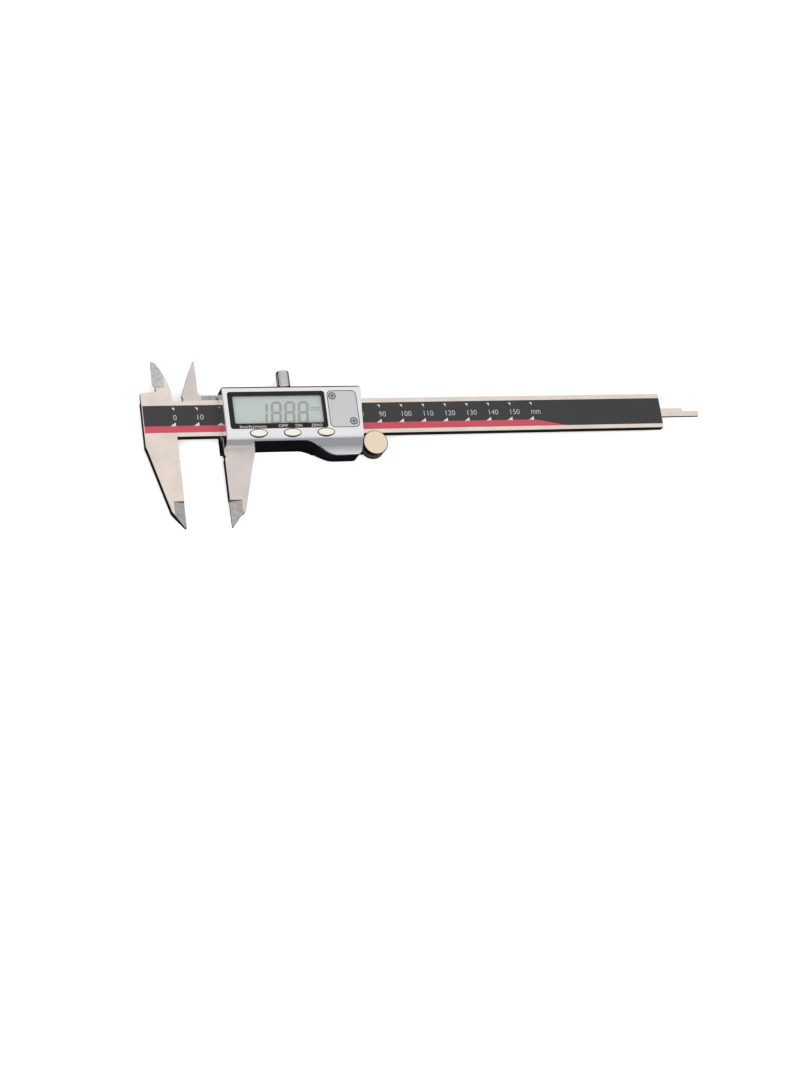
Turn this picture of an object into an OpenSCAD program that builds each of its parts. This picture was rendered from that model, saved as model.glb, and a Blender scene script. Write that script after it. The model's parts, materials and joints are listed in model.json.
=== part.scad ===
// Digital caliper, 150 mm, lying on its back with the display up.
// X runs along the beam towards the depth rod, Y towards the inside jaws, Z through the thickness.
// Sizes are in millimetres from the fixed measuring face, the beam's lower edge and its front face.

/* [Beam] */
// Width of the beam
beam_w = 16; // [12:0.5:20]
// Thickness of the beam
beam_t = 3.5; // [2.5:0.1:5]
// How far the beam reaches to the left of the fixed measuring face
beam_left = 13.7; // [10:0.1:20]
// How far the beam reaches to the right of the fixed measuring face
beam_right = 221.3; // [200:0.1:250]
// Depth of the outside jaws below the beam
jaw_depth = 40; // [30:1:60]

/* [Opening] */
// Distance between the measuring faces as stored
opening = 19.2; // [0:0.1:150]

/* [Housing] */
// Height of the housing front above the beam front
front_z = 6.9; // [5:0.1:9]
// Depth of the housing back below the beam front
back_z = 8; // [6.5:0.1:10]
// Wall thickness of the moulded covers
wall = 1.2; // [0.8:0.1:2]
// Top edge of the housing
top_y = 19.35; // [18.5:0.05:22]

/* [Controls] */
// Length of an oval button
key_len = 6.8; // [5:0.1:9]
// Height of an oval button
key_h = 3.0; // [2:0.1:4]
// Radius of the thumb roller's hub
hub_r = 4.7; // [3:0.1:7]
// Radius of the lock screw's head
knob_r = 2.85; // [2:0.05:4]

/* [Depth rod] */
// Width of the depth rod
rod_w = 3.9; // [2:0.1:5]
// Thickness of the depth rod
rod_t = 1.3; // [0.8:0.1:1.6]

/* [Output] */
// Which sub-part to draw

/* [Hidden] */
$fn = 48;
gap = 0.05;
split_z = -3.55;
g = opening;
slide_x = g - 19.2;
x_lo = -beam_left;
x_hi = beam_right + g;
y_lo = -jaw_depth;
y_hi = 34.8;
key_x = [33.1, 47.7, 62.35];
key_y = -1.85;
lock_x = 49;
lock_z = -1.75;
roller_x = 85.5;
roller_y = -hub_r - gap;
cell_x = 71.05;
cell_y = 8.63;
cell_r = 5.8;
cover_screws = [[66.96, 14.42], [75.15, 2.85]];
back_screws = [[24, 17.35], [75, 17.35], [37.5, -1.75], [75, -1.75]];
stop_screws = [[216.5, 4.1], [216.5, 11.9]];
gib_screws = [30, 68];

// Extrusions: a plan shape between two heights, and profiles run along X or along Y
module plan(z0, z1) { translate([0, 0, z0]) linear_extrude(height = z1 - z0) children(); }
module along_x(x0, x1) {
    translate([x0, 0, 0]) rotate([90, 0, 90]) linear_extrude(height = x1 - x0) children();
}
module along_y(y0, y1) {
    translate([0, y1, 0]) rotate([90, 0, 0]) linear_extrude(height = y1 - y0) children();
}
module block(x0, x1, y0, y1, z0, z1) { translate([x0, y0, z0]) cube([x1 - x0, y1 - y0, z1 - z0]); }
module post(x, y, r, z0, z1) { translate([x, y, z0]) cylinder(r = r, h = z1 - z0); }
module rod_y(x, z, r, y0, y1) { translate([x, y1, z]) rotate([90, 0, 0]) cylinder(r = r, h = y1 - y0); }

// Rectangle with round corners
module rrect(x0, y0, x1, y1, r) {
    translate([x0 + r, y0]) square([x1 - x0 - 2 * r, y1 - y0]);
    translate([x0, y0 + r]) square([x1 - x0, y1 - y0 - 2 * r]);
    for (x = [x0 + r, x1 - r], y = [y0 + r, y1 - r]) translate([x, y]) circle(r = r);
}

// Oval of four arcs, of the given half length and half height
module oval(a, b, r) {
    big = (pow(a - r, 2) + b * b - r * r) / (2 * (b - r));
    ux = (a - r) / (big - r);
    intersection() {
        translate([0, b - big]) circle(r = big, $fn = 96);
        translate([0, big - b]) circle(r = big, $fn = 96);
        square([2 * (a - r + r * ux), 4 * b], center = true);
    }
    for (s = [-1, 1]) translate([s * (a - r), 0]) circle(r = r);
}

// Place in the row frame: bottom centre of the whole caliper at the origin
module placed() { translate([-(x_lo + x_hi) / 2, -(y_lo + y_hi) / 2, back_z]) children(); }
// Everything on the slider moves with the opening
module on_slider() { placed() translate([slide_x, 0, 0]) children(); }

// Housing outline, drawn in by e
function wave(e) = [for (i = [0:14]) let (x = 52.9 + 15.5 * i / 14)
    [x + 0.35 * e, -4.75 + e - 5.35 * (1 - cos(180 * i / 14)) / 2]];
function turn(cx, cy, r, a0, a1) = [for (i = [0:5]) let (a = a0 + (a1 - a0) * i / 5)
    [cx + r * cos(a), cy + r * sin(a)]];
function outline(e) = concat(
    [[19.3 + e, -6.0 + e]],
    turn(29.9 - e, -4.8 + e, 1.2, -90, -25),
    [[31.2 - e, -4.75 + e]],
    wave(e),
    turn(76.9 - e, -7.85 + e, 1.95, -85, -8),
    [[78.75 - e, -3.6], [79.35 - e, 7.8], [80.15 - e, 16.5 - e]],
    turn(78.7 - e, top_y - 1.5 - e, 1.5, 0, 90),
    turn(20.1 + e, top_y - 0.8 - e, 0.8, 90, 180));

// Sloping chin under the buttons: the space above a slope with a rounded top edge and a flared lip
chin_r = 3.5;
chin_y = -1.75;
chin_drop = [[-7, 4.05], [-7.8, 4.85], [-8.6, 5.57], [-9.4, 6.21], [-10.1, 6.7], [-20, 13.6]];
module chin(d) {
    along_x(10, 90) polygon(concat(
        [for (i = [0:6]) let (a = 90 + 7.5 * i)
            [chin_y + d + chin_r * cos(a), front_z - chin_r * (1 - sin(a))]],
        [for (p = chin_drop) [p[0] + d, front_z - p[1]]],
        [[-20 + d, front_z + 4], [chin_y + d, front_z + 4]]));
}

// Fine vertical ribs of the thumb rest, as grooves in its wall
module grip_grooves(z0, z1) {
    for (i = [0:16]) post(60 + i * 1.05, -4.75 - 5.35 * (1 - cos(180 * min(1, (7.1 + i * 1.05) / 15.5))) / 2,
        0.44, z0, z1);
}

module main_beam() {
    color([0.78, 0.77, 0.75]) placed() difference() {
        union() {
            block(x_lo, beam_right, 0, beam_w, -beam_t, 0);
            plan(-beam_t, 0) polygon([[x_lo, 0.1], [x_lo, -4.2], [-12.92, -6.47], [-5.67, -33.02],
                [-0.6, -jaw_depth], [0, -jaw_depth], [0, 0.1]]);
            plan(-1.7, 0) polygon([[x_lo, 15.9], [x_lo, 19.4], [-13.3, 19.86], [-6.99, 20.2], [-6.96, 22.93],
                [-7.86, 24.07], [-7.86, 34.1], [-7.6, 34.25], [-7.01, 34.25], [-5.81, 33.58], [-4.04, 30.15],
                [-2.3, 26.49], [-1.14, 23.31], [-0.53, 21.04], [-0.45, 15.9]]);
        }
        block(-0.2, 4.0, 15.5, beam_w + 1, -beam_t - 1, 1);
        block(x_lo + 0.3, beam_right + 1, 1.8, 13.96, -0.5, 1);
        block(33, beam_right + 1, 5.75, 9.95, -beam_t - 1, -beam_t + 1.5);
        along_y(-41, -28.5) polygon([[-4.56, 0], [0.01, -1.15], [0.01, 1], [-4.56, 1]]);
        along_y(-41, -28.5) polygon([[-4.56, -beam_t], [0.01, -beam_t + 1.15], [0.01, -beam_t - 1],
            [-4.56, -beam_t - 1]]);
        along_y(22, 35) polygon([[-3.0, 0], [-7.9, -1.3], [-7.9, 1], [-3.0, 1]]);
        block(-0.35, 1, -10.1, -8.6, -beam_t - 1, 1);
        for (p = stop_screws) post(p[0], p[1], 0.75, -beam_t - 1, -1.6);
    }
}

module scale_strip() {
    color([0.80, 0.62, 0.30]) placed() block(x_lo + 0.35, beam_right, 1.85, 13.91, -0.49, -0.2);
}

module scale_label() {
    color([0.16, 0.16, 0.17]) placed() block(x_lo + 0.35, beam_right, 1.85, 13.91, -0.2, -0.04);
}

module end_stop() {
    color([0.70, 0.70, 0.70]) placed() difference() {
        block(212.2, 220.6, 2.4, 13.6, -4.8, -beam_t);
        for (p = stop_screws) post(p[0], p[1], 0.8, -6, 0);
        for (p = stop_screws) post(p[0], p[1], 1.4, -6, -4.2);
    }
}

module flat_screw(x, y, r, head_z, shank_z) {
    difference() {
        union() {
            post(x, y, 1.35, head_z, head_z + 0.6);
            post(x, y, r, head_z + 0.5, shank_z);
        }
        block(x - 0.9, x + 0.9, y - 0.15, y + 0.15, head_z - 1, head_z + 0.3);
        block(x - 0.15, x + 0.15, y - 0.9, y + 0.9, head_z - 1, head_z + 0.3);
    }
}

module stop_screw_lower() { color([0.6, 0.6, 0.6]) placed() flat_screw(216.5, 4.1, 0.7, -4.8, -1.7); }

module stop_screw_upper() { color([0.6, 0.6, 0.6]) placed() flat_screw(216.5, 11.9, 0.7, -4.8, -1.7); }

// Steel slider: a channel round the beam with both moving jaws
module slider_frame() {
    color([0.76, 0.75, 0.73]) on_slider() difference() {
        union() {
            along_x(20.6, 77.2) polygon([[-3.4, -5.4], [18.1, -5.4], [18.1, 1.2], [14.2, 1.2],
                [14.2, 0.06], [16.6, 0.06], [16.6, -3.56], [-gap, -3.56], [-gap, 0.06], [1.6, 0.06],
                [1.6, 1.2], [-3.4, 1.2]]);
            plan(-beam_t, 0) polygon([[19.2, -1.2], [20.6, -gap], [32.54, -gap], [32.54, -6.17],
                [32.09, -8.86], [30.69, -13.3], [27.88, -24.36], [25.5, -33.57], [24.12, -34.6],
                [19.9, -jaw_depth], [19.2, -jaw_depth]]);
            plan(-beam_t, -1.8) polygon([[4.47, 16.06], [4.71, 17.13], [4.41, 19.0], [5.86, 22.99],
                [7.69, 27.97], [9.48, 32.51], [10.45, 34.7], [10.9, y_hi], [11.34, 34.6], [11.34, 25.2],
                [11.1, 20.2], [11.9, 19.1], [20.6, 19.1], [20.6, 18.1], [24, 18.1], [24, 16.7],
                [20.6, 16.7], [20.6, 16.06]]);
            block(45.2, 52.0, 17.5, 19.2, -beam_t, 0.3);
        }
        block(19.1, 19.55, -10.1, -8.6, -beam_t - 1, 1);
        along_y(-41, -28.5) polygon([[24.3, 0], [19.19, -1.15], [19.19, 1], [24.3, 1]]);
        along_y(-41, -28.5) polygon([[24.3, -beam_t], [19.19, -beam_t + 1.15], [19.19, -beam_t - 1],
            [24.3, -beam_t - 1]]);
        along_y(22, 36) polygon([[6.6, -beam_t], [11.4, -beam_t + 1.2], [11.4, -beam_t - 1],
            [6.6, -beam_t - 1]]);
        rod_y(lock_x, lock_z, 1.25, 16, 20);
        for (x = gib_screws) rod_y(x, lock_z, 0.8, 16, 20);
        for (p = back_screws) post(p[0], p[1], 0.55, -6, 2);
        block(60, 68, 6.3, 9.4, -6, -3);
    }
}

module gib_strip() {
    color([0.72, 0.58, 0.32]) on_slider() block(22, 76, beam_w + gap, 16.55, -3.3, 0);
}

module set_screw(x) {
    difference() {
        rod_y(x, lock_z, 0.75, 16.56, 18.05);
        block(x - 1, x + 1, 17.7, 18.2, lock_z - 0.15, lock_z + 0.15);
    }
}

module gib_screw_left() { color([0.3, 0.3, 0.3]) on_slider() set_screw(gib_screws[0]); }

module gib_screw_right() { color([0.3, 0.3, 0.3]) on_slider() set_screw(gib_screws[1]); }

module depth_rod() {
    color([0.74, 0.73, 0.71]) on_slider() difference() {
        union() {
            block(60.1, beam_right + 19.2, 5.9, 5.9 + rod_w, -3.35, -3.35 + rod_t);
            block(60.1, 67.9, 6.4, 9.3, -5.35, -3.3);
        }
        block(233, 250, 8.4, 11, -5, 0);
        post(64, 7.85, 0.55, -6, 0);
    }
}

module rod_screw() {
    color([0.6, 0.6, 0.6]) on_slider() difference() {
        union() {
            post(64, 7.85, 1.3, -5.95, -5.35);
            post(64, 7.85, 0.5, -5.4, -2.6);
        }
        block(62.9, 65.1, 7.7, 8.0, -7, -5.65);
    }
}

// Moulded front cover with its display window, key holes, battery bay and sloping chin
module front_cover() {
    color([0.80, 0.80, 0.81]) on_slider() difference() {
        plan(split_z, front_z) polygon(outline(0));
        chin(0);
        along_x(10, 90) polygon([[top_y - 1.85, front_z + 1], [top_y + 0.15, front_z - 1],
            [top_y + 0.15, front_z + 1]]);
        along_y(-20, 30) polygon([[20.65, front_z + 1], [18.3, front_z - 1.35], [18.3, front_z + 1]]);
        difference() {
            plan(split_z - 1, front_z - 1.4) polygon(outline(wall));
            chin(1.6);
            block(19, 33, -7, -3.5, -5, 7);
            difference() {
                post(cell_x, cell_y, cell_r + 0.8, 1.3, 7);
                post(cell_x, cell_y, cell_r + 0.15, 0, 7);
            }
        }
        block(18, 32.8, -8, 0.2, -5, 0.06);
        block(18, 20.8, -0.4, 20.5, -5, 0.25);
        block(77, 82, -0.4, 16.4, -5, 0.25);
        block(45.0, 52.2, 17, 21, -5, 0.4);
        plan(5.9, 8) rrect(21.35, 0.15, 63.7, 16.85, 1.2);
        plan(5, 8) rrect(22.1, 0.9, 63.1, 16.1, 0.6);
        for (x = key_x) translate([x, key_y, 4.4]) linear_extrude(height = 4)
            oval(key_len / 2 + 0.22, key_h / 2 + 0.22, 1.05);
        plan(6.1, 8) rrect(64.8, 0.2, 77.6, 16.8, 2);
        post(cell_x, cell_y, cell_r + 0.15, 0, 8);
        for (p = cover_screws) post(p[0], p[1], 0.65, 5, 8);
        grip_grooves(-5, 8);
    }
}

module display_bezel() {
    color([0.14, 0.13, 0.13]) on_slider() difference() {
        plan(5.92, front_z - 0.03) rrect(21.4, 0.2, 63.65, 16.8, 1.15);
        plan(5, 8) rrect(23.5, 2.5, 62.3, 15.1, 0.8);
    }
}

module display_lens() {
    color([0.8, 0.86, 0.86, 0.35]) on_slider() plan(5.5, 5.9) rrect(22.2, 1.0, 63.0, 16.0, 0.5);
}

module lcd_panel() {
    color([0.66, 0.71, 0.67]) on_slider() block(22.6, 62.9, 1.3, 15.8, 4.3, 5.45);
}

module contact_strip() {
    color([0.25, 0.25, 0.27]) on_slider() block(24, 61, 14.2, 15.4, 2.45, 4.28);
}

module circuit_board() {
    color([0.10, 0.32, 0.18]) on_slider() union() {
        block(21.4, 64.2, -3.0, 17.6, 1.45, 2.4);
        block(24, 62, 2.0, 13.8, 0.5, 1.5);
        block(30, 38, 4.5, 11.5, 2.3, 3.3);
        block(44, 50, 5, 10, 2.3, 3.2);
    }
}

module key_switches() {
    color([0.2, 0.2, 0.22]) on_slider() for (x = key_x) {
        block(x - 2.0, x + 2.0, -2.9, 0.4, 2.4, 2.8);
        post(x, -1.6, 1.1, 2.7, 3.2);
    }
}

module coin_cell() {
    color([0.75, 0.75, 0.76]) on_slider() union() {
        post(cell_x, cell_y, cell_r, 1.25, 5.95);
        post(cell_x, cell_y, cell_r - 1.2, 0.6, 1.3);
    }
}

module cell_contact() {
    color([0.82, 0.70, 0.40]) on_slider() union() {
        post(cell_x, cell_y, 3.6, 0.3, 0.55);
        block(64.0, cell_x, cell_y - 1, cell_y + 1, 0.3, 0.5);
        block(64.0, 64.3, cell_y - 1, cell_y + 1, 0.3, 1.44);
    }
}

module battery_cover() {
    color([0.72, 0.72, 0.73]) on_slider() difference() {
        plan(6.12, front_z) rrect(64.97, 0.37, 77.43, 16.63, 1.85);
        for (p = cover_screws) post(p[0], p[1], 0.65, 5, 8);
        for (p = cover_screws) post(p[0], p[1], 1.5, 6.4, 8);
    }
}

module battery_screws() {
    color([0.65, 0.65, 0.65]) on_slider() for (p = cover_screws) difference() {
        union() {
            post(p[0], p[1], 1.28, 6.41, front_z);
            post(p[0], p[1], 0.6, 5.5, 6.45);
        }
        block(p[0] - 0.95, p[0] + 0.95, p[1] - 0.16, p[1] + 0.16, 6.6, 8);
        block(p[0] - 0.16, p[0] + 0.16, p[1] - 0.95, p[1] + 0.95, 6.6, 8);
    }
}

// Moulded back tray, with the housing's outline and its screw seats
module rear_cover() {
    color([0.74, 0.74, 0.75]) on_slider() difference() {
        plan(-back_z, split_z - 0.05) polygon(outline(0));
        block(20.5, 77.3, -3.5, 18.2, -5.45, -3);
        block(62, 66, 5.85, 9.85, -6.1, -5);
        for (p = back_screws) post(p[0], p[1], 0.6, -9, -3);
        for (p = back_screws) post(p[0], p[1], 1.4, -9, -back_z + 0.7);
        block(71, 80, -7.4, -3.55, -6.8, -5.1);
        block(76, 82, -7.4, 0, -6.8, -5.1);
        block(24, 76, 3.5, 15.5, -9, -back_z + 0.3);
        grip_grooves(-9, 0);
    }
}

module rear_screws() {
    color([0.6, 0.6, 0.6]) on_slider() for (p = back_screws) flat_screw(p[0], p[1], 0.5, -back_z + 0.05, -2);
}

// Steel arm under the roller, held in the back tray
module roller_bracket() {
    color([0.7, 0.7, 0.7]) on_slider() difference() {
        union() {
            block(71.1, 77.2, -7.3, -3.65, -6.7, -5.5);
            block(77, roller_x, -7.3, roller_y + 2.5, -6.7, -5.5);
            post(roller_x, roller_y, 2.6, -6.7, -5.2);
        }
        post(roller_x, roller_y, 0.95, -8, 0);
    }
}

module roller_axle() {
    color([0.65, 0.65, 0.65]) on_slider() union() {
        post(roller_x, roller_y, 0.95, -6.7, 0.3);
        post(roller_x, roller_y, 1.5, -7.2, -6.7);
    }
}

module thumb_roller() {
    color([0.85, 0.80, 0.74]) on_slider() difference() {
        union() {
            post(roller_x, roller_y, 5.45, 0.12, 0.9);
            translate([roller_x, roller_y, 0.9]) cylinder(r1 = 5.45, r2 = 5.1, h = 0.3);
            post(roller_x, roller_y, hub_r, -4.0, 0.2);
            post(roller_x, roller_y, 5.4, -4.9, -3.7);
        }
        post(roller_x, roller_y, 1.0, -6, 0.4);
    }
}

module lock_pad() {
    color([0.72, 0.58, 0.32]) on_slider() rod_y(lock_x, lock_z, 1.2, 16.65, 17.2);
}

module lock_screw() {
    color([0.72, 0.72, 0.72]) on_slider() difference() {
        union() {
            rod_y(lock_x, lock_z, 1.2, 17.22, 20.4);
            rod_y(lock_x, lock_z, 1.9, 20.0, 21.9);
            rod_y(lock_x, lock_z, knob_r, 21.8, 28.8);
            rod_y(lock_x, lock_z, knob_r - 0.35, 28.7, 29.2);
        }
        for (i = [0:17]) rod_y(lock_x + knob_r * cos(20 * i), lock_z + knob_r * sin(20 * i), 0.2, 22.4, 28.3);
    }
}

module key(i) {
    translate([key_x[i], key_y, 5.0]) linear_extrude(height = 2.15) oval(key_len / 2, key_h / 2, 0.9);
    block(key_x[i] - 3.2, key_x[i] + 3.2, key_y - 1.1, key_y + 1.4, 4.1, 5.3);
    post(key_x[i], key_y + 0.25, 0.9, 3.7, 4.2);
}

module unit_key() { color([0.95, 0.92, 0.86]) on_slider() key(0); }

module power_key() { color([0.95, 0.92, 0.86]) on_slider() key(1); }

module zero_key() { color([0.95, 0.92, 0.86]) on_slider() key(2); }

main_beam();
scale_strip();
scale_label();
end_stop();
stop_screw_lower();
stop_screw_upper();
slider_frame();
gib_strip();
gib_screw_left();
gib_screw_right();
depth_rod();
rod_screw();
front_cover();
display_bezel();
display_lens();
lcd_panel();
contact_strip();
circuit_board();
key_switches();
coin_cell();
cell_contact();
battery_cover();
battery_screws();
rear_cover();
rear_screws();
roller_bracket();
roller_axle();
thumb_roller();
lock_pad();
lock_screw();
unit_key();
power_key();
zero_key();
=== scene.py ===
import json
import math

import bmesh
import bpy
from mathutils import Matrix, Vector


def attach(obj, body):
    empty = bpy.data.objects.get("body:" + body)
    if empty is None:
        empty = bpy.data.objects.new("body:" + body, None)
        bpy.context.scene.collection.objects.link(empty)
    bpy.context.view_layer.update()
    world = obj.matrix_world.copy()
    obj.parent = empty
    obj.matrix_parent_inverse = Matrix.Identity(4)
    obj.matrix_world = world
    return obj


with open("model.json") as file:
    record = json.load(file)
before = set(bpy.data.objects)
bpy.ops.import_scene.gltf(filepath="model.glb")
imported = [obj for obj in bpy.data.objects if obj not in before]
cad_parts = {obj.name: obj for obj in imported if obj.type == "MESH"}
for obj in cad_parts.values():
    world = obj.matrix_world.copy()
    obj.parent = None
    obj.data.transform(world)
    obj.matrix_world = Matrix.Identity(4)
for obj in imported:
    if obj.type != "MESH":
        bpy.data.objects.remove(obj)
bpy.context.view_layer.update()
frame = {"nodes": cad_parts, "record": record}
MM = 0.001
MICRON = 0.000001

# Caliper coordinates in millimetres: x from the fixed measuring face, y from the beam's lower edge, z from
# the beam's front. The row frame has its origin in the middle of the tool's box, at the height of its back.
BEAM_LEFT, BEAM_RIGHT = -13.7, 221.3
OPENING = 19.2
ROD_RIGHT = BEAM_RIGHT + OPENING
LOW_Y, HIGH_Y = -40.0, 34.8
BACK_DEPTH = 8.0
CX = (BEAM_LEFT + ROD_RIGHT) / 2
CY = (LOW_Y + HIGH_Y) / 2

FRONT_Z = 6.9
LABEL_Z = -0.04
LCD_Z = 5.45
LEGEND_Z = FRONT_Z - 0.03


def place(x, y, z):
    """A point of the caliper in the row frame, in metres."""
    return Vector(((x - CX) * MM, (y - CY) * MM, (z + BACK_DEPTH) * MM))


# ---------------------------------------------------------------- nodes
def shader(m):
    return m.node_tree.nodes["Principled BSDF"]


def material(name, color, rough, metal=0.0, coat=0.0, alpha=1.0):
    m = bpy.data.materials.new(name)
    m.use_nodes = True
    b = shader(m)
    b.inputs["Base Color"].default_value = (*color, 1)
    b.inputs["Roughness"].default_value = rough
    b.inputs["Metallic"].default_value = metal
    b.inputs["Coat Weight"].default_value = coat
    b.inputs["Coat Roughness"].default_value = 0.1
    b.inputs["Alpha"].default_value = alpha
    return m


def noise(m, scale, detail, stretch=(1, 1, 1), rough=0.55):
    """Noise over the object's own space, stretched along its axes."""
    t = m.node_tree
    tc = t.nodes.new("ShaderNodeTexCoord")
    mp = t.nodes.new("ShaderNodeMapping")
    mp.inputs["Scale"].default_value = stretch
    t.links.new(tc.outputs["Object"], mp.inputs["Vector"])
    n = t.nodes.new("ShaderNodeTexNoise")
    n.inputs["Scale"].default_value = scale
    n.inputs["Detail"].default_value = detail
    n.inputs["Roughness"].default_value = rough
    t.links.new(mp.outputs["Vector"], n.inputs["Vector"])
    return n.outputs["Fac"]


def axes_of(owner, space):
    """The separate coordinates of a space, for a material or the world."""
    t = owner.node_tree
    tc = t.nodes.new("ShaderNodeTexCoord")
    sep = t.nodes.new("ShaderNodeSeparateXYZ")
    t.links.new(tc.outputs[space], sep.inputs["Vector"])
    return sep.outputs


def unit_range(owner, value, low, high):
    """The value as 0 at low to 1 at high."""
    r = owner.node_tree.nodes.new("ShaderNodeMapRange")
    r.inputs["From Min"].default_value = low
    r.inputs["From Max"].default_value = high
    owner.node_tree.links.new(value, r.inputs["Value"])
    return r.outputs["Result"]


def ramp(owner, fac, stops):
    """A colour ramp through (position, colour) stops, for a material or the world."""
    r = owner.node_tree.nodes.new("ShaderNodeValToRGB")
    r.color_ramp.elements[0].position, r.color_ramp.elements[0].color = stops[0]
    r.color_ramp.elements[1].position, r.color_ramp.elements[1].color = stops[-1]
    for p, c in stops[1:-1]:
        r.color_ramp.elements.new(p).color = c
    owner.node_tree.links.new(fac, r.inputs["Fac"])
    return r.outputs["Color"]


def set_color(m, out):
    m.node_tree.links.new(out, shader(m).inputs["Base Color"])


def set_rough(m, fac, lo, hi):
    r = m.node_tree.nodes.new("ShaderNodeMapRange")
    r.inputs["To Min"].default_value = lo
    r.inputs["To Max"].default_value = hi
    m.node_tree.links.new(fac, r.inputs["Value"])
    m.node_tree.links.new(r.outputs["Result"], shader(m).inputs["Roughness"])


def bump(m, fac, strength, microns):
    b = m.node_tree.nodes.new("ShaderNodeBump")
    b.inputs["Strength"].default_value = strength
    b.inputs["Distance"].default_value = microns * MICRON
    m.node_tree.links.new(fac, b.inputs["Height"])
    m.node_tree.links.new(b.outputs["Normal"], shader(m).inputs["Normal"])


def tint(c, k):
    return (c[0] * k, c[1] * k, c[2] * k, 1)


def mottled(m, fac, color, spread):
    """Colour that wanders by the given share below its value and half of that above."""
    return ramp(m, fac, [(0.3, tint(color, 1 - spread)), (0.7, tint(color, 1 + spread * 0.5))])


def srgb(r, g, b):
    """Linear colour of a display colour with channels from 0 to 255."""
    channels = (r / 255, g / 255, b / 255)
    return tuple(v / 12.92 if v <= 0.04045 else ((v + 0.055) / 1.055) ** 2.4 for v in channels)


# ---------------------------------------------------------------- materials
CLOUD_SCALE = 110
CLOUD = [(0.35, (0.90, 0.90, 0.91, 1)), (0.65, (1, 1, 1, 1))]
BROAD_SCALE = 60


def steel(name, color, rough=0.3, grain=(30, 900, 900), relief=10, spread=0.06):
    """Ground steel: fine grain in colour, gloss and relief (microns), and broad soft clouds of tarnish."""
    m = material(name, color, rough, 1.0)
    streak = noise(m, 1.0, 5.0, grain, 0.6)
    mix = m.node_tree.nodes.new("ShaderNodeMixRGB")
    mix.blend_type = "MULTIPLY"
    mix.inputs["Fac"].default_value = 1.0
    m.node_tree.links.new(mottled(m, streak, color, spread), mix.inputs["Color1"])
    m.node_tree.links.new(ramp(m, noise(m, CLOUD_SCALE, 3.0), CLOUD), mix.inputs["Color2"])
    set_color(m, mix.outputs["Color"])
    set_rough(m, streak, rough - 0.05, rough + 0.07)
    bump(m, streak, 0.25, relief)
    return m


def moulded(name, color, rough=0.35, metal=0.0, coat=0.0, grain=2500, relief=10, spread=0.03):
    """Moulded, printed or lacquered surface with fine grain (relief in microns) and slight mottling."""
    m = material(name, color, rough, metal, coat)
    fine = noise(m, grain, 2.0)
    set_color(m, mottled(m, noise(m, BROAD_SCALE, 3.0), color, spread))
    set_rough(m, fine, rough - 0.04, rough + 0.04)
    bump(m, fine, 0.2, relief)
    return m


def printed(name, color, rough=0.45, relief=3, spread=0.03):
    """Matt printing ink or film."""
    return moulded(name, color, rough, grain=3000, relief=relief, spread=spread)


def lacquer(name, color, rough=0.22, metal=1.0):
    """Satin silver lacquer on moulded plastic."""
    return moulded(name, color, rough, metal, grain=2600, relief=4, spread=0.02)


def roller_metal(name):
    """Beige metal, coloured by height: pale face, painted shade on the side and round the face's rim, and
    one lighter band of painted reflection across the side.
    """
    low_z, top_z = -5.0, 1.3
    # The dark side and rim colours are painted shade; the lighter band is a painted reflection.
    face, painted_shade, painted_sheen_band = (*srgb(240, 219, 196), 1), (0.035, 0.028, 0.026, 1), (0.30, 0.26, 0.23, 1)
    m = moulded(name, srgb(240, 215, 186), 0.28, 0.93, 0.1, 1500, 5, 0.06)
    height = unit_range(m, axes_of(m, "Object")["Z"], (low_z + BACK_DEPTH) * MM, (top_z + BACK_DEPTH) * MM)
    set_color(m, ramp(m, height, [(0.0, painted_shade), (0.14, painted_shade), (0.15, painted_sheen_band), (0.23, painted_sheen_band), (0.24, painted_shade),
                                  (0.975, painted_shade), (0.98, face)]))
    return m


M_STEEL = steel("ground_steel", (0.875, 0.77, 0.695), 0.32, (900, 900, 900), 8, 0.05)
M_JAW = steel("jaw_steel", (0.76, 0.69, 0.655), 0.34, (900, 900, 900), 8, 0.06)
M_GROUND = steel("ground_bevel", (0.52, 0.515, 0.505), 0.42, (700, 700, 700), 20, 0.3)
M_INSIDE = steel("ground_inside", (0.65, 0.655, 0.63), 0.42, (700, 700, 700), 20, 0.3)
M_COPPER = steel("gold_track", (0.72, 0.52, 0.25))
M_SCREW = steel("screw_steel", (0.60, 0.60, 0.60), 0.26, (600, 600, 600), 10, 0.1)
M_BRASS = steel("brass", (0.72, 0.56, 0.28))
M_BLACK = steel("black_steel", (0.05, 0.05, 0.05), 0.4)
M_KNOB = steel("knurled_steel", (0.68, 0.68, 0.69), 0.2, (600, 600, 600), 6, 0.08)
M_LABEL = printed("label_film", srgb(38, 38, 39), 0.42, 4, 0.06)
M_RED = printed("label_red", srgb(180, 63, 78), 0.42, 4, 0.05)
M_INK = printed("label_print", srgb(196, 196, 195))
M_NUMBER = printed("label_number_print", srgb(168, 168, 167))
M_COVER = lacquer("silver_lacquer", srgb(238, 237, 239))
M_REAR = lacquer("rear_lacquer", srgb(222, 222, 226))
M_CELLCOVER = lacquer("cover_lacquer", srgb(208, 208, 211), 0.3, 0.95)
M_BEZEL = moulded("bezel_gloss", srgb(22, 20, 20), 0.3, grain=2400, relief=2, spread=0.04)
shader(M_BEZEL).inputs["Specular IOR Level"].default_value = 0.25
M_LCD = moulded("lcd_glass", srgb(144, 156, 147), 0.3, coat=0.3, grain=2600, relief=1, spread=0.02)
M_SEG = moulded("lcd_segment", srgb(72, 80, 75), 0.35, grain=2600, relief=1)
M_RUBBER = moulded("elastomer", (0.02, 0.02, 0.02), 0.6)
M_BOARD = moulded("board_green", (0.02, 0.12, 0.05), 0.4, coat=0.3)
M_SWITCH = moulded("switch_black", (0.03, 0.03, 0.03), 0.5)
M_CELL = steel("cell_can", (0.75, 0.75, 0.76), 0.22)
M_ROLLER = roller_metal("roller_beige")
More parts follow.
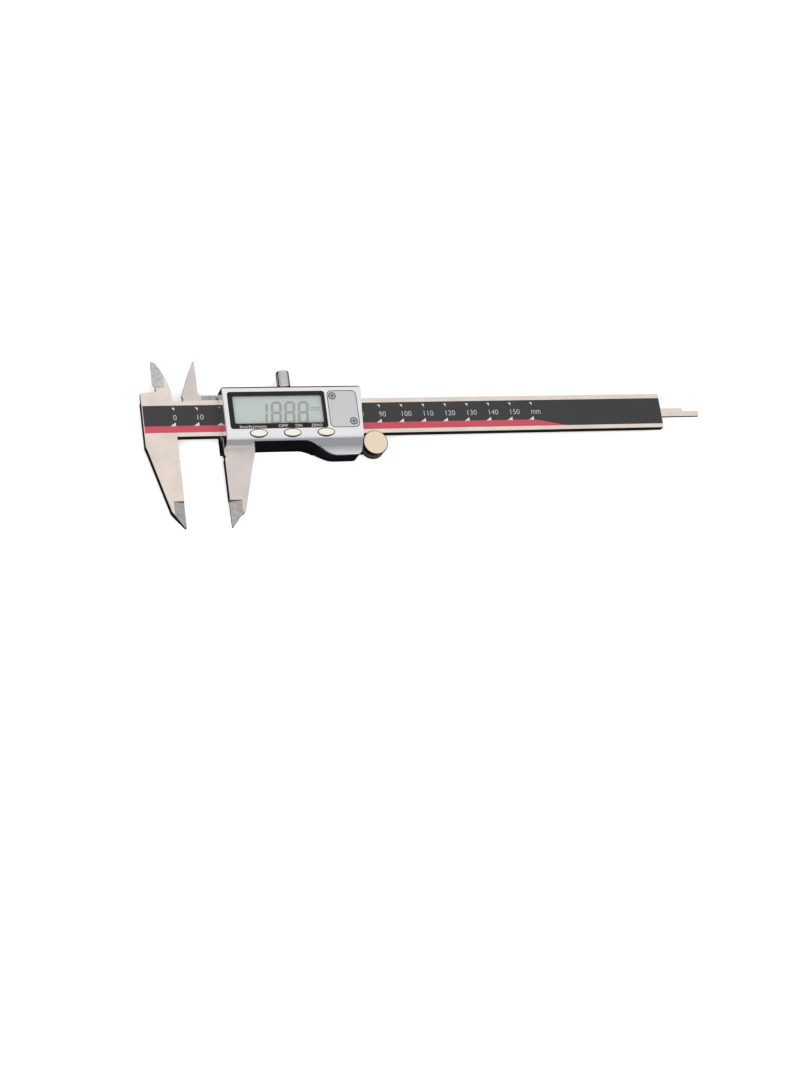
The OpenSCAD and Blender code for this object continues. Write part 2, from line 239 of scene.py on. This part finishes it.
M_KEY = moulded("key_ivory", srgb(242, 236, 223), 0.24, 0.7, 0.3, 2400, 3, 0.02)
M_DARK = moulded("shadow_gap", (0.015, 0.014, 0.014), 0.5)
M_LEGEND = printed("bezel_print", srgb(205, 203, 200), 0.4, 2, 0.02)
M_LENS = material("clear_window", (0.98, 1.0, 0.99), 0.03, alpha=0.12)

BY_SLOT = {
    "steel": M_STEEL, "copper_track": M_COPPER, "label": M_LABEL, "stop_plate": M_SCREW,
    "screw_steel": M_SCREW, "brass": M_BRASS, "set_screw": M_BLACK, "cover_silver": M_COVER,
    "bezel": M_BEZEL, "lens": M_LENS, "lcd": M_LCD, "elastomer": M_RUBBER, "board": M_BOARD,
    "switch": M_SWITCH, "cell": M_CELL, "spring_contact": M_BRASS, "cell_cover": M_CELLCOVER,
    "rear_silver": M_REAR, "roller": M_ROLLER, "knob": M_KNOB, "key": M_KEY,
}
BY_NODE = {"slider_frame": M_JAW}
node_slot = {s["node"]: s["material_slot"] for s in frame["record"]["subparts"]}
for name, obj in frame["nodes"].items():
    mat = BY_NODE.get(name, BY_SLOT[node_slot[name]])
    if not obj.material_slots:
        obj.data.materials.append(mat)
    for ms in obj.material_slots:
        ms.material = mat


# ---------------------------------------------------------------- outlines, in millimetres
def arc(cx, cy, r, a0, a1, n):
    """n + 1 points of an arc between two angles in degrees."""
    angles = [math.radians(a0 + (a1 - a0) * i / n) for i in range(n + 1)]
    return [(cx + r * math.cos(a), cy + r * math.sin(a)) for a in angles]


def rect(x0, y0, x1, y1):
    return [(x0, y0), (x1, y0), (x1, y1), (x0, y1)]


def round_rect(x0, y0, x1, y1, r):
    return (arc(x1 - r, y1 - r, r, 0, 90, 6) + arc(x0 + r, y1 - r, r, 90, 180, 6)
            + arc(x0 + r, y0 + r, r, 180, 270, 6) + arc(x1 - r, y0 + r, r, 270, 360, 6))


def oval(a, b, r):
    """Closed outline with half length a, half height b, end radius r and long sides of one large radius."""
    big = ((a - r) ** 2 + b * b - r * r) / (2 * (b - r))
    th = math.degrees(math.asin((a - r) / (big - r)))
    pts = arc(0, b - big, big, 90 - th, 90 + th, 14)
    pts += arc(-(a - r), 0, r, 90 + th, 270 - th, 8)[1:]
    pts += arc(0, big - b, big, 270 - th, 270 + th, 14)[1:]
    pts += arc(a - r, 0, r, -90 + th, 90 - th, 8)[1:-1]
    return pts


def circle(cx, cy, r):
    return arc(cx, cy, r, 0, 360, 24)[:-1]


def ring(outer, inner):
    """Quads between two outlines with the same number of points."""
    n = len(outer)
    return [[outer[i], outer[(i + 1) % n], inner[(i + 1) % n], inner[i]] for i in range(n)]


def smooth(t):
    """Eases from 0 to 1."""
    return t * t * (3 - 2 * t)


# ---------------------------------------------------------------- pieces
def add_piece(name, bm, mat, body):
    me = bpy.data.meshes.new(name)
    bm.to_mesh(me)
    bm.free()
    o = bpy.data.objects.new(name, me)
    me.materials.append(mat)
    bpy.context.scene.collection.objects.link(o)
    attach(o, body)


def plates(name, outlines, height, thick, mat, body):
    """Closed plates over flat outlines; height gives the z of their underside at a point."""
    bm = bmesh.new()
    for pts in outlines:
        n = len(pts)
        area = sum(pts[i - 1][0] * pts[i][1] - pts[i][0] * pts[i - 1][1] for i in range(n))
        if area < 0:
            pts = pts[::-1]
        low = [bm.verts.new(place(x, y, height(x, y))) for x, y in pts]
        top = [bm.verts.new(place(x, y, height(x, y) + thick)) for x, y in pts]
        bm.faces.new(top)
        bm.faces.new(low[::-1])
        for i in range(n):
            j = (i + 1) % n
            bm.faces.new([low[i], low[j], top[j], top[i]])
    add_piece(name, bm, mat, body)


def shape(name, outlines, z, thick, mat, body):
    """Flat print or trim with its underside at z."""
    plates(name, outlines, lambda x, y: z, thick, mat, body)


def facet(name, outline, surface, mat, body, rise=0.0):
    """Thin skin just proud of a sloping facet, of ground steel or painted shade; surface gives the facet's
    z at a point.
    """
    gap, thick = 0.002, 0.01
    plates(name, [outline], lambda x, y: surface(x, y) + rise + gap, thick, mat, body)


def text_mesh(text, weight):
    """Mesh of a line of text, one unit thick about z = 0; weight widens its strokes."""
    curve = bpy.data.curves.new("text", "FONT")
    curve.body = text
    curve.extrude = 0.5
    curve.offset = weight
    curve.resolution_u = 4
    o = bpy.data.objects.new("text", curve)
    bpy.context.scene.collection.objects.link(o)
    graph = bpy.context.evaluated_depsgraph_get()
    me = bpy.data.meshes.new_from_object(o.evaluated_get(graph))
    bpy.data.objects.remove(o)
    bpy.data.curves.remove(curve)
    return me


def lettering(name, lines, z, mat, body, weight):
    """Raised print from lines of (text, x, baseline y, width, height), each fitted to its size."""
    bm = bmesh.new()
    for text, x, y, width, height in lines:
        me = text_mesh(text, weight)
        xs = [v.co.x for v in me.vertices]
        ys = [v.co.y for v in me.vertices]
        low_x, low_y = min(xs), min(ys)
        wide, tall = max(xs) - low_x, max(ys) - low_y
        for v in me.vertices:
            v.co = place(x + (v.co.x - low_x) * width / wide, y + (v.co.y - low_y) * height / tall,
                         z + (v.co.z + 0.5) * PRINT_THICK)
        bm.from_mesh(me)
        bpy.data.meshes.remove(me)
    add_piece(name, bm, mat, body)


# ---------------------------------------------------------------- label: stripe, marks and numbers
PRINT_THICK = 0.012
STRIPE_LEFT, STRIPE_THICK = BEAM_LEFT + 0.36, 0.006
STRIPE_LOW, STRIPE_HIGH = 1.87, 4.8
WAVE_LEFT, WAVE_LENGTH, WAVE_STEPS = 158.0, 19.5, 16

stripe_top = [(STRIPE_LEFT + (WAVE_LEFT - STRIPE_LEFT) * i / 6, STRIPE_HIGH) for i in range(6)]
for i in range(WAVE_STEPS + 1):
    t = i / WAVE_STEPS
    y = STRIPE_LOW + (STRIPE_HIGH - STRIPE_LOW) * (1 - smooth(t))
    stripe_top.append((WAVE_LEFT + WAVE_LENGTH * t, y))
stripe = [[(x0, STRIPE_LOW), (x1, STRIPE_LOW), (x1, y1), (x0, y0)]
          for (x0, y0), (x1, y1) in zip(stripe_top, stripe_top[1:])]
shape("red_stripe", stripe, LABEL_Z, STRIPE_THICK, M_RED, "beam")

LAST_MARK, LAST_NUMBER = 160, 150
MARK_LOW, MARK_POINT, MARK_WIDE = 4.75, 6.35, 2.3
UPPER_MARK_HIGH, UPPER_MARK_POINT, UPPER_MARK_WIDE = 12.95, 11.6, 1.15
NUMBER_Y, NUMBER_HIGH, DIGIT_PITCH, DIGIT_GAP = 7.42, 2.35, 1.55, 0.1
NUMBER_LEFT, ONE_INSET = 0.8, 0.3

marks, numbers = [], []
for x in range(0, LAST_MARK + 1, 10):
    marks.append([(x - MARK_WIDE, MARK_LOW), (x, MARK_LOW), (x, MARK_POINT)])
    marks.append([(x - UPPER_MARK_WIDE, UPPER_MARK_HIGH), (x, UPPER_MARK_HIGH), (x, UPPER_MARK_POINT)])
for x in range(0, LAST_NUMBER + 1, 10):
    text = str(x)
    inset = ONE_INSET if text[0] == "1" else 0.0
    width = DIGIT_PITCH * len(text) - DIGIT_GAP - inset
    numbers.append((text, x - NUMBER_LEFT + inset, NUMBER_Y, width, NUMBER_HIGH))
numbers.append(("mm", 159.2, NUMBER_Y, 4.3, 1.8))
shape("scale_marks", marks, LABEL_Z, PRINT_THICK, M_INK, "beam")
lettering("scale_numbers", numbers, LABEL_Z, M_NUMBER, "beam", -0.004)

# ---------------------------------------------------------------- bezel legends
LEGEND_Y, LEGEND_HIGH = 0.72, 1.15
LEGENDS = [("inch/mm", 25.3, 0.5, 11.4, 1.3), ("OFF", 42.0, LEGEND_Y, 4.0, LEGEND_HIGH),
           ("ON", 49.3, LEGEND_Y, 2.9, LEGEND_HIGH), ("ZERO", 56.3, LEGEND_Y, 4.8, LEGEND_HIGH)]
lettering("legends", LEGENDS, LEGEND_Z, M_LEGEND, "slider", -0.001)

# ---------------------------------------------------------------- unlit digits of the display
DIGIT_Y, DIGIT_HIGH, DIGIT_SLANT, BAR = 2.55, 10.3, 1.15, 1.15
# Each segment's two ends, in digit widths and half heights
SEGMENTS = {"a": (0, 2, 1, 2), "b": (1, 2, 1, 1), "c": (1, 1, 1, 0), "d": (0, 0, 1, 0),
            "e": (0, 1, 0, 0), "f": (0, 2, 0, 1), "g": (0, 1, 1, 1)}


def segments(x, width, shown):
    """Slanted digit of pointed bars, with its lower left corner at x."""
    out = []
    for key in shown:
        ax, ay, bx, by = SEGMENTS[key]
        a = Vector((BAR / 2 + ax * (width - BAR), BAR / 2 + ay * (DIGIT_HIGH - BAR) / 2))
        b = Vector((BAR / 2 + bx * (width - BAR), BAR / 2 + by * (DIGIT_HIGH - BAR) / 2))
        d = (b - a).normalized()
        n = Vector((-d.y, d.x)) * (BAR / 2)
        a, b = a + d * 0.05, b - d * 0.05
        bar = [a, a + d * BAR / 2 + n, b - d * BAR / 2 + n, b, b - d * BAR / 2 - n, a + d * BAR / 2 - n]
        out.append([(x + p.x + DIGIT_SLANT * p.y / DIGIT_HIGH, DIGIT_Y + p.y) for p in bar])
    return out


digits = segments(33.4, 4.5, "bc")
for k in range(3):
    digits += segments(39.15 + 5.87 * k, 4.8, "abcdefg")
lettering("lcd_ghost_unit", [("mm", 57.3, 8.2, 4.0, 1.9)], LCD_Z, M_SEG, "slider", 0.008)
shape("lcd_ghost_digits", digits, LCD_Z, PRINT_THICK, M_SEG, "slider")

# ---------------------------------------------------------------- painted shade in the gaps round keys, screws and cover
KEY_XS, KEY_Y = (33.1, 47.7, 62.35), -1.85
COVER_SCREWS = ((66.96, 14.42), (75.15, 2.85))
KEY_SHADE_Z, KEY_SHADE_TOP = 6.3, FRONT_Z + 0.03
SEAT_Z, RECESS_Z, SEAM_Z, TRIM_TOP = 6.42, 6.61, 6.3, FRONT_Z + 0.02
SEAT_OUTER, SEAT_INNER = 1.66, 1.24
CROSS_REACH, CROSS_HALF = 0.93, 0.19

# Dark rings in the gaps round the keys: painted shade.
gap_shade_rings = []
for kx in KEY_XS:
    for quad in ring(oval(3.85, 1.95, 1.2), oval(3.42, 1.52, 0.92)):
        gap_shade_rings.append([(kx + x, KEY_Y + y) for x, y in quad])
shape("key_gap_shade", gap_shade_rings, KEY_SHADE_Z, KEY_SHADE_TOP - KEY_SHADE_Z, M_DARK, "slider")

# Dark rings round the cover screws and dark crosses in their heads: painted shade.
seat_shade_rings, crosses = [], []
for sx, sy in COVER_SCREWS:
    seat_shade_rings += ring(circle(sx, sy, SEAT_OUTER), circle(sx, sy, SEAT_INNER))
    crosses.append(rect(sx - CROSS_REACH, sy - CROSS_HALF, sx + CROSS_REACH, sy + CROSS_HALF))
    crosses.append(rect(sx - CROSS_HALF, sy - CROSS_REACH, sx + CROSS_HALF, sy - CROSS_HALF))
    crosses.append(rect(sx - CROSS_HALF, sy + CROSS_HALF, sx + CROSS_HALF, sy + CROSS_REACH))
shape("cover_screw_seat_shade", seat_shade_rings, SEAT_Z, TRIM_TOP - SEAT_Z, M_DARK, "slider")
shape("cover_screw_recess_shade", crosses, RECESS_Z, TRIM_TOP - RECESS_Z, M_DARK, "slider")

# Dark line in the gap round the battery cover: painted shade.
seam = ring(round_rect(64.68, 0.08, 77.72, 16.92, 2.1), round_rect(64.97, 0.37, 77.43, 16.63, 1.85))
shape("battery_cover_seam_shade", seam, SEAM_Z, TRIM_TOP - SEAM_Z, M_DARK, "slider")

# ---------------------------------------------------------------- ground facets of the jaws, and painted shade along their steps
TIP_STEP_Y, TIP_GROUND_Y, TIP_Y = -28.53, -28.55, -39.9
STEP_RISE = 0.015


def fixed_tip(x, y):
    return -1.15 * (x + 4.56) / 4.57


def moving_tip(x, y):
    return -1.15 * (24.3 - x) / 5.11


def fixed_inside(x, y):
    return -1.3 * (-3.0 - x) / 4.9


def arm_front(x, y):
    return -1.8


# Dark strips at the top of the two tip facets: painted shade under the step.
facet("fixed_tip_step_shade", [(-4.5, -28.75), (-0.04, -28.95), (-0.04, TIP_STEP_Y), (-4.5, TIP_STEP_Y)],
      fixed_tip, M_DARK, "beam", STEP_RISE)
facet("moving_tip_step_shade", [(19.25, TIP_STEP_Y), (19.25, -28.95), (24.25, -28.75), (24.25, TIP_STEP_Y)],
      moving_tip, M_DARK, "slider", STEP_RISE)
facet("fixed_tip_ground", [(-4.5, TIP_GROUND_Y), (-4.5, -34.55), (-0.62, TIP_Y), (-0.04, TIP_Y),
                           (-0.04, TIP_GROUND_Y)],
      fixed_tip, M_GROUND, "beam")
facet("moving_tip_ground", [(19.25, TIP_GROUND_Y), (19.25, TIP_Y), (19.9, TIP_Y), (24.1, -34.55),
                            (24.25, -34.4), (24.25, TIP_GROUND_Y)],
      moving_tip, M_GROUND, "slider")
facet("fixed_inside_ground", [(-3.05, 22.05), (-3.05, 27.95), (-4.06, 30.1), (-5.83, 33.53), (-7.01, 34.2),
                              (-7.58, 34.2), (-7.8, 34.05), (-7.8, 24.1), (-6.94, 22.95), (-6.94, 22.05)],
      fixed_inside, M_INSIDE, "beam")
# The arm strip's darker grey is partly its ground finish and partly painted shade of a shallow recess.
facet("arm_ground_and_shade_strip", rect(12.6, 16.9, 19.15, 18.95), arm_front, M_GROUND, "slider")

# ---------------------------------------------------------------- camera
CAMERA_AT = (-209.87, -338.28, 853.18)
LOOK = Vector((0.31610538, 0.30262779, -0.89916284))
SKYWARD = Vector((0.03477869, 0.94342671, 0.32975215))
SENSOR_MM, LENS_MM = 36, 74.49292

right = LOOK.cross(SKYWARD).normalized()
up = right.cross(LOOK).normalized()
cam_data = bpy.data.cameras.new("camera")
cam = bpy.data.objects.new("camera", cam_data)
cam.matrix_world = Matrix.Translation(place(*CAMERA_AT)) @ Matrix((right, up, -LOOK)).transposed().to_4x4()
cam_data.sensor_width = SENSOR_MM
cam_data.sensor_fit = "AUTO"
cam_data.lens = LENS_MM
cam_data.clip_start = 0.01
cam_data.clip_end = 100
bpy.context.scene.collection.objects.link(cam)
bpy.context.scene.camera = cam

# ---------------------------------------------------------------- floor
FLOOR_SIZE = 40.0
floor_mesh = bpy.data.meshes.new("floor")
bm = bmesh.new()
bmesh.ops.create_grid(bm, x_segments=2, y_segments=2, size=FLOOR_SIZE)
bm.to_mesh(floor_mesh)
bm.free()
floor = bpy.data.objects.new("floor", floor_mesh)
m_floor = moulded("floor_white", (0.93, 0.93, 0.93), 0.9, grain=40, relief=20, spread=0.004)
shader(m_floor).inputs["Emission Color"].default_value = (1, 1, 1, 1)
shader(m_floor).inputs["Emission Strength"].default_value = 0.3
floor_mesh.materials.append(m_floor)
bpy.context.scene.collection.objects.link(floor)
floor.visible_glossy = False

# ---------------------------------------------------------------- studio
WORLD_STRENGTH = 0.95
DARK_LOW, WARM_HIGH = (0.005, 0.005, 0.006, 1), (1.0, 0.995, 0.985, 1)
# Brightness by height: dark near the horizon in front of the tool, and light from low down behind it
FRONT_STOPS = [(0.0, DARK_LOW), (0.12, (0.05, 0.052, 0.058, 1)), (0.3, (0.45, 0.465, 0.50, 1)),
               (0.6, (0.86, 0.87, 0.88, 1)), (0.9, WARM_HIGH)]
BEHIND_LEVELS = ((0.04, 0.30), (0.3, 0.72), (0.6, 0.9))
BEHIND_STOPS = [(0.0, DARK_LOW)] + [(p, (v, v, v * 1.01, 1)) for p, v in BEHIND_LEVELS] + [(0.9, WARM_HIGH)]

world = bpy.data.worlds.new("studio")
bpy.context.scene.world = world
world.use_nodes = True
wt = world.node_tree
toward = axes_of(world, "Generated")
blend = wt.nodes.new("ShaderNodeMixRGB")
wt.links.new(unit_range(world, toward["Y"], 0.0, 0.5), blend.inputs["Fac"])
wt.links.new(ramp(world, toward["Z"], FRONT_STOPS), blend.inputs["Color1"])
wt.links.new(ramp(world, toward["Z"], BEHIND_STOPS), blend.inputs["Color2"])
background = wt.nodes["Background"]
background.inputs["Strength"].default_value = WORLD_STRENGTH
wt.links.new(blend.outputs["Color"], background.inputs["Color"])

key_data = bpy.data.lights.new("key_light", "AREA")
key_data.size = 1.6
key_data.energy = 20
key = bpy.data.objects.new("key_light", key_data)
key.location = place(-300, -800, 1300)
key.rotation_euler = (place(100, 0, 0) - key.location).to_track_quat("-Z", "Y").to_euler()
key.visible_glossy = False
bpy.context.scene.collection.objects.link(key)

bpy.context.scene.view_settings.view_transform = "Standard"
bpy.context.scene.view_settings.look = "None"
